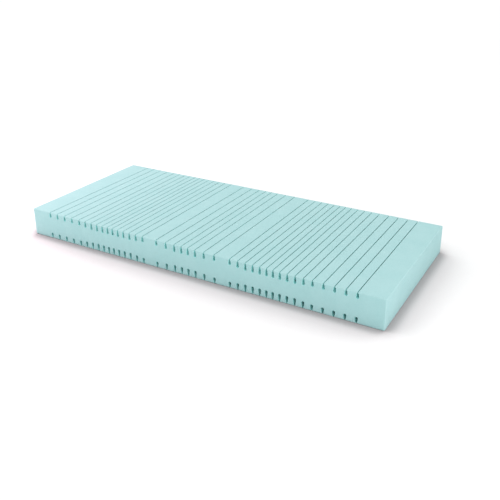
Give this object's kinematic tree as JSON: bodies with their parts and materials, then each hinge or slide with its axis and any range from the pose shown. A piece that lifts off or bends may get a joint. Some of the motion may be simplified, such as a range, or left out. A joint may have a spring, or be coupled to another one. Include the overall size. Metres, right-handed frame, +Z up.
{
  "type": "pressure relief mattress core",
  "caption": "Flat rectangular foam mattress core, cut across its width from both faces by drop-shaped slots so that it relieves pressure and bends on an adjustable bed.",
  "frame": {"origin": "centre of the underside", "axes": "+X from the head end to the foot end, +Y across the width, +Z up"},
  "size_m": [2, 0.85, 0.15],
  "materials": {
    "foam": "matte open-cell polyurethane foam, pale turquoise"
  },
  "bodies": {
    "head_end_block": {"head_end_block": "foam"},
    "head_rib_01": {"head_rib_01": "foam"},
    "head_rib_02": {"head_rib_02": "foam"},
    "head_rib_03": {"head_rib_03": "foam"},
    "head_rib_04": {"head_rib_04": "foam"},
    "shoulder_rib_01": {"shoulder_rib_01": "foam"},
    "shoulder_rib_02": {"shoulder_rib_02": "foam"},
    "shoulder_rib_03": {"shoulder_rib_03": "foam"},
    "shoulder_rib_04": {"shoulder_rib_04": "foam"},
    "shoulder_rib_05": {"shoulder_rib_05": "foam"},
    "shoulder_rib_06": {"shoulder_rib_06": "foam"},
    "shoulder_rib_07": {"shoulder_rib_07": "foam"},
    "shoulder_rib_08": {"shoulder_rib_08": "foam"},
    "shoulder_rib_09": {"shoulder_rib_09": "foam"},
    "shoulder_rib_10": {"shoulder_rib_10": "foam"},
    "shoulder_rib_11": {"shoulder_rib_11": "foam"},
    "lumbar_bridge": {"lumbar_bridge": "foam"},
    "pelvis_rib_01": {"pelvis_rib_01": "foam"},
    "pelvis_rib_02": {"pelvis_rib_02": "foam"},
    "pelvis_rib_03": {"pelvis_rib_03": "foam"},
    "pelvis_rib_04": {"pelvis_rib_04": "foam"},
    "pelvis_rib_05": {"pelvis_rib_05": "foam"},
    "pelvis_rib_06": {"pelvis_rib_06": "foam"},
    "pelvis_rib_07": {"pelvis_rib_07": "foam"},
    "thigh_bridge": {"thigh_bridge": "foam"},
    "calf_rib_01": {"calf_rib_01": "foam"},
    "calf_rib_02": {"calf_rib_02": "foam"},
    "calf_rib_03": {"calf_rib_03": "foam"},
    "calf_rib_04": {"calf_rib_04": "foam"},
    "calf_rib_05": {"calf_rib_05": "foam"},
    "calf_rib_06": {"calf_rib_06": "foam"},
    "calf_rib_07": {"calf_rib_07": "foam"},
    "calf_rib_08": {"calf_rib_08": "foam"},
    "calf_rib_09": {"calf_rib_09": "foam"},
    "calf_rib_10": {"calf_rib_10": "foam"},
    "calf_rib_11": {"calf_rib_11": "foam"},
    "foot_rib_01": {"foot_rib_01": "foam"},
    "foot_rib_02": {"foot_rib_02": "foam"},
    "foot_rib_03": {"foot_rib_03": "foam"},
    "foot_rib_04": {"foot_rib_04": "foam"},
    "foot_end_block": {"foot_end_block": "foam"}
  },
  "joints": [
    {"name": "back_raise", "type": "hinge", "parent": "pelvis_rib_04", "child": "pelvis_rib_03", "pos_m": [-0.019, 0, 0.075], "axis": [0, 1, 0], "range_deg": [0, 3], "stiffness_Nm_per_rad": 60},
    {"name": "back_raise_slot_19", "type": "hinge", "parent": "pelvis_rib_03", "child": "pelvis_rib_02", "pos_m": [-0.06, 0, 0.075], "axis": [0, 1, 0], "range_deg": [0, 3], "stiffness_Nm_per_rad": 60},
    {"name": "back_raise_slot_18", "type": "hinge", "parent": "pelvis_rib_02", "child": "pelvis_rib_01", "pos_m": [-0.11, 0, 0.075], "axis": [0, 1, 0], "range_deg": [0, 3], "stiffness_Nm_per_rad": 60},
    {"name": "back_raise_slot_17", "type": "hinge", "parent": "pelvis_rib_01", "child": "lumbar_bridge", "pos_m": [-0.167, 0, 0.075], "axis": [0, 1, 0], "range_deg": [0, 3], "stiffness_Nm_per_rad": 60},
    {"name": "back_raise_slot_16", "type": "hinge", "parent": "lumbar_bridge", "child": "shoulder_rib_11", "pos_m": [-0.252, 0, 0.075], "axis": [0, 1, 0], "range_deg": [0, 3], "stiffness_Nm_per_rad": 60},
    {"name": "back_raise_slot_15", "type": "hinge", "parent": "shoulder_rib_11", "child": "shoulder_rib_10", "pos_m": [-0.2944, 0, 0.075], "axis": [0, 1, 0], "range_deg": [0, 3], "stiffness_Nm_per_rad": 60},
    {"name": "back_raise_slot_14", "type": "hinge", "parent": "shoulder_rib_10", "child": "shoulder_rib_09", "pos_m": [-0.3348, 0, 0.075], "axis": [0, 1, 0], "range_deg": [0, 3], "stiffness_Nm_per_rad": 60},
    {"name": "back_raise_slot_13", "type": "hinge", "parent": "shoulder_rib_09", "child": "shoulder_rib_08", "pos_m": [-0.3732, 0, 0.075], "axis": [0, 1, 0], "range_deg": [0, 3], "stiffness_Nm_per_rad": 60},
    {"name": "back_raise_slot_12", "type": "hinge", "parent": "shoulder_rib_08", "child": "shoulder_rib_07", "pos_m": [-0.4096, 0, 0.075], "axis": [0, 1, 0], "range_deg": [0, 3], "stiffness_Nm_per_rad": 60},
    {"name": "back_raise_slot_11", "type": "hinge", "parent": "shoulder_rib_07", "child": "shoulder_rib_06", "pos_m": [-0.444, 0, 0.075], "axis": [0, 1, 0], "range_deg": [0, 3], "stiffness_Nm_per_rad": 60},
    {"name": "back_raise_slot_10", "type": "hinge", "parent": "shoulder_rib_06", "child": "shoulder_rib_05", "pos_m": [-0.4764, 0, 0.075], "axis": [0, 1, 0], "range_deg": [0, 3], "stiffness_Nm_per_rad": 60},
    {"name": "back_raise_slot_09", "type": "hinge", "parent": "shoulder_rib_05", "child": "shoulder_rib_04", "pos_m": [-0.5108, 0, 0.075], "axis": [0, 1, 0], "range_deg": [0, 3], "stiffness_Nm_per_rad": 60},
    {"name": "head_raise", "type": "hinge", "parent": "shoulder_rib_04", "child": "shoulder_rib_03", "pos_m": [-0.5472, 0, 0.075], "axis": [0, 1, 0], "range_deg": [0, 3], "stiffness_Nm_per_rad": 60},
    {"name": "head_raise_slot_07", "type": "hinge", "parent": "shoulder_rib_03", "child": "shoulder_rib_02", "pos_m": [-0.5856, 0, 0.075], "axis": [0, 1, 0], "range_deg": [0, 3], "stiffness_Nm_per_rad": 60},
    {"name": "head_raise_slot_06", "type": "hinge", "parent": "shoulder_rib_02", "child": "shoulder_rib_01", "pos_m": [-0.626, 0, 0.075], "axis": [0, 1, 0], "range_deg": [0, 3], "stiffness_Nm_per_rad": 60},
    {"name": "head_raise_slot_05", "type": "hinge", "parent": "shoulder_rib_01", "child": "head_rib_04", "pos_m": [-0.6684, 0, 0.075], "axis": [0, 1, 0], "range_deg": [0, 3], "stiffness_Nm_per_rad": 60},
    {"name": "head_raise_slot_04", "type": "hinge", "parent": "head_rib_04", "child": "head_rib_03", "pos_m": [-0.7199, 0, 0.075], "axis": [0, 1, 0], "range_deg": [0, 3], "stiffness_Nm_per_rad": 60},
    {"name": "head_raise_slot_03", "type": "hinge", "parent": "head_rib_03", "child": "head_rib_02", "pos_m": [-0.7714, 0, 0.075], "axis": [0, 1, 0], "range_deg": [0, 3], "stiffness_Nm_per_rad": 60},
    {"name": "head_raise_slot_02", "type": "hinge", "parent": "head_rib_02", "child": "head_rib_01", "pos_m": [-0.8229, 0, 0.075], "axis": [0, 1, 0], "range_deg": [0, 3], "stiffness_Nm_per_rad": 60},
    {"name": "head_raise_slot_01", "type": "hinge", "parent": "head_rib_01", "child": "head_end_block", "pos_m": [-0.8744, 0, 0.075], "axis": [0, 1, 0], "range_deg": [0, 3], "stiffness_Nm_per_rad": 60},
    {"name": "knee_raise", "type": "hinge", "parent": "pelvis_rib_04", "child": "pelvis_rib_05", "pos_m": [0.019, 0, 0.075], "axis": [0, -1, 0], "range_deg": [0, 3], "stiffness_Nm_per_rad": 60},
    {"name": "knee_raise_slot_22", "type": "hinge", "parent": "pelvis_rib_05", "child": "pelvis_rib_06", "pos_m": [0.06, 0, 0.075], "axis": [0, -1, 0], "range_deg": [0, 3], "stiffness_Nm_per_rad": 60},
    {"name": "knee_raise_slot_23", "type": "hinge", "parent": "pelvis_rib_06", "child": "pelvis_rib_07", "pos_m": [0.11, 0, 0.075], "axis": [0, -1, 0], "range_deg": [0, 3], "stiffness_Nm_per_rad": 60},
    {"name": "knee_raise_slot_24", "type": "hinge", "parent": "pelvis_rib_07", "child": "thigh_bridge", "pos_m": [0.167, 0, 0.075], "axis": [0, -1, 0], "range_deg": [0, 3], "stiffness_Nm_per_rad": 60},
    {"name": "knee_raise_slot_25", "type": "hinge", "parent": "thigh_bridge", "child": "calf_rib_01", "pos_m": [0.252, 0, 0.075], "axis": [0, -1, 0], "range_deg": [0, 3], "stiffness_Nm_per_rad": 60},
    {"name": "knee_raise_slot_26", "type": "hinge", "parent": "calf_rib_01", "child": "calf_rib_02", "pos_m": [0.2944, 0, 0.075], "axis": [0, -1, 0], "range_deg": [0, 3], "stiffness_Nm_per_rad": 60},
    {"name": "knee_raise_slot_27", "type": "hinge", "parent": "calf_rib_02", "child": "calf_rib_03", "pos_m": [0.3348, 0, 0.075], "axis": [0, -1, 0], "range_deg": [0, 3], "stiffness_Nm_per_rad": 60},
    {"name": "knee_raise_slot_28", "type": "hinge", "parent": "calf_rib_03", "child": "calf_rib_04", "pos_m": [0.3732, 0, 0.075], "axis": [0, -1, 0], "range_deg": [0, 3], "stiffness_Nm_per_rad": 60},
    {"name": "knee_drop_slot_29", "type": "hinge", "parent": "calf_rib_04", "child": "calf_rib_05", "pos_m": [0.4096, 0, 0.075], "axis": [0, -1, 0], "range_deg": [-3, 0], "stiffness_Nm_per_rad": 60},
    {"name": "knee_drop_slot_30", "type": "hinge", "parent": "calf_rib_05", "child": "calf_rib_06", "pos_m": [0.444, 0, 0.075], "axis": [0, -1, 0], "range_deg": [-3, 0], "stiffness_Nm_per_rad": 60},
    {"name": "knee_drop_slot_31", "type": "hinge", "parent": "calf_rib_06", "child": "calf_rib_07", "pos_m": [0.4764, 0, 0.075], "axis": [0, -1, 0], "range_deg": [-3, 0], "stiffness_Nm_per_rad": 60},
    {"name": "knee_drop_slot_32", "type": "hinge", "parent": "calf_rib_07", "child": "calf_rib_08", "pos_m": [0.5108, 0, 0.075], "axis": [0, -1, 0], "range_deg": [-3, 0], "stiffness_Nm_per_rad": 60},
    {"name": "knee_drop_slot_33", "type": "hinge", "parent": "calf_rib_08", "child": "calf_rib_09", "pos_m": [0.5472, 0, 0.075], "axis": [0, -1, 0], "range_deg": [-3, 0], "stiffness_Nm_per_rad": 60},
    {"name": "knee_drop_slot_34", "type": "hinge", "parent": "calf_rib_09", "child": "calf_rib_10", "pos_m": [0.5856, 0, 0.075], "axis": [0, -1, 0], "range_deg": [-3, 0], "stiffness_Nm_per_rad": 60},
    {"name": "knee_drop_slot_35", "type": "hinge", "parent": "calf_rib_10", "child": "calf_rib_11", "pos_m": [0.626, 0, 0.075], "axis": [0, -1, 0], "range_deg": [-3, 0], "stiffness_Nm_per_rad": 60},
    {"name": "knee_drop_slot_36", "type": "hinge", "parent": "calf_rib_11", "child": "foot_rib_01", "pos_m": [0.6684, 0, 0.075], "axis": [0, -1, 0], "range_deg": [-3, 0], "stiffness_Nm_per_rad": 60},
    {"name": "knee_drop_slot_37", "type": "hinge", "parent": "foot_rib_01", "child": "foot_rib_02", "pos_m": [0.7199, 0, 0.075], "axis": [0, -1, 0], "range_deg": [-3, 0], "stiffness_Nm_per_rad": 60},
    {"name": "knee_drop_slot_38", "type": "hinge", "parent": "foot_rib_02", "child": "foot_rib_03", "pos_m": [0.7714, 0, 0.075], "axis": [0, -1, 0], "range_deg": [-3, 0], "stiffness_Nm_per_rad": 60},
    {"name": "knee_drop_slot_39", "type": "hinge", "parent": "foot_rib_03", "child": "foot_rib_04", "pos_m": [0.8229, 0, 0.075], "axis": [0, -1, 0], "range_deg": [-3, 0], "stiffness_Nm_per_rad": 60},
    {"name": "knee_drop_slot_40", "type": "hinge", "parent": "foot_rib_04", "child": "foot_end_block", "pos_m": [0.8744, 0, 0.075], "axis": [0, -1, 0], "range_deg": [-3, 0], "stiffness_Nm_per_rad": 60}
  ],
  "couplings": [
    {"joint": "head_raise_slot_07", "follows": "head_raise", "ratio": 1},
    {"joint": "head_raise_slot_06", "follows": "head_raise", "ratio": 1},
    {"joint": "head_raise_slot_05", "follows": "head_raise", "ratio": 1},
    {"joint": "head_raise_slot_04", "follows": "head_raise", "ratio": 1},
    {"joint": "head_raise_slot_03", "follows": "head_raise", "ratio": 1},
    {"joint": "head_raise_slot_02", "follows": "head_raise", "ratio": 1},
    {"joint": "head_raise_slot_01", "follows": "head_raise", "ratio": 1},
    {"joint": "back_raise_slot_19", "follows": "back_raise", "ratio": 1},
    {"joint": "back_raise_slot_18", "follows": "back_raise", "ratio": 1},
    {"joint": "back_raise_slot_17", "follows": "back_raise", "ratio": 1},
    {"joint": "back_raise_slot_16", "follows": "back_raise", "ratio": 1},
    {"joint": "back_raise_slot_15", "follows": "back_raise", "ratio": 1},
    {"joint": "back_raise_slot_14", "follows": "back_raise", "ratio": 1},
    {"joint": "back_raise_slot_13", "follows": "back_raise", "ratio": 1},
    {"joint": "back_raise_slot_12", "follows": "back_raise", "ratio": 1},
    {"joint": "back_raise_slot_11", "follows": "back_raise", "ratio": 1},
    {"joint": "back_raise_slot_10", "follows": "back_raise", "ratio": 1},
    {"joint": "back_raise_slot_09", "follows": "back_raise", "ratio": 1},
    {"joint": "knee_raise_slot_22", "follows": "knee_raise", "ratio": 1},
    {"joint": "knee_raise_slot_23", "follows": "knee_raise", "ratio": 1},
    {"joint": "knee_raise_slot_24", "follows": "knee_raise", "ratio": 1},
    {"joint": "knee_raise_slot_25", "follows": "knee_raise", "ratio": 1},
    {"joint": "knee_raise_slot_26", "follows": "knee_raise", "ratio": 1},
    {"joint": "knee_raise_slot_27", "follows": "knee_raise", "ratio": 1},
    {"joint": "knee_raise_slot_28", "follows": "knee_raise", "ratio": 1},
    {"joint": "knee_drop_slot_29", "follows": "knee_raise", "ratio": -1},
    {"joint": "knee_drop_slot_30", "follows": "knee_raise", "ratio": -1},
    {"joint": "knee_drop_slot_31", "follows": "knee_raise", "ratio": -1},
    {"joint": "knee_drop_slot_32", "follows": "knee_raise", "ratio": -1},
    {"joint": "knee_drop_slot_33", "follows": "knee_raise", "ratio": -1},
    {"joint": "knee_drop_slot_34", "follows": "knee_raise", "ratio": -1},
    {"joint": "knee_drop_slot_35", "follows": "knee_raise", "ratio": -1},
    {"joint": "knee_drop_slot_36", "follows": "knee_raise", "ratio": -1},
    {"joint": "knee_drop_slot_37", "follows": "knee_raise", "ratio": -1},
    {"joint": "knee_drop_slot_38", "follows": "knee_raise", "ratio": -1},
    {"joint": "knee_drop_slot_39", "follows": "knee_raise", "ratio": -1},
    {"joint": "knee_drop_slot_40", "follows": "knee_raise", "ratio": -1}
  ]
}
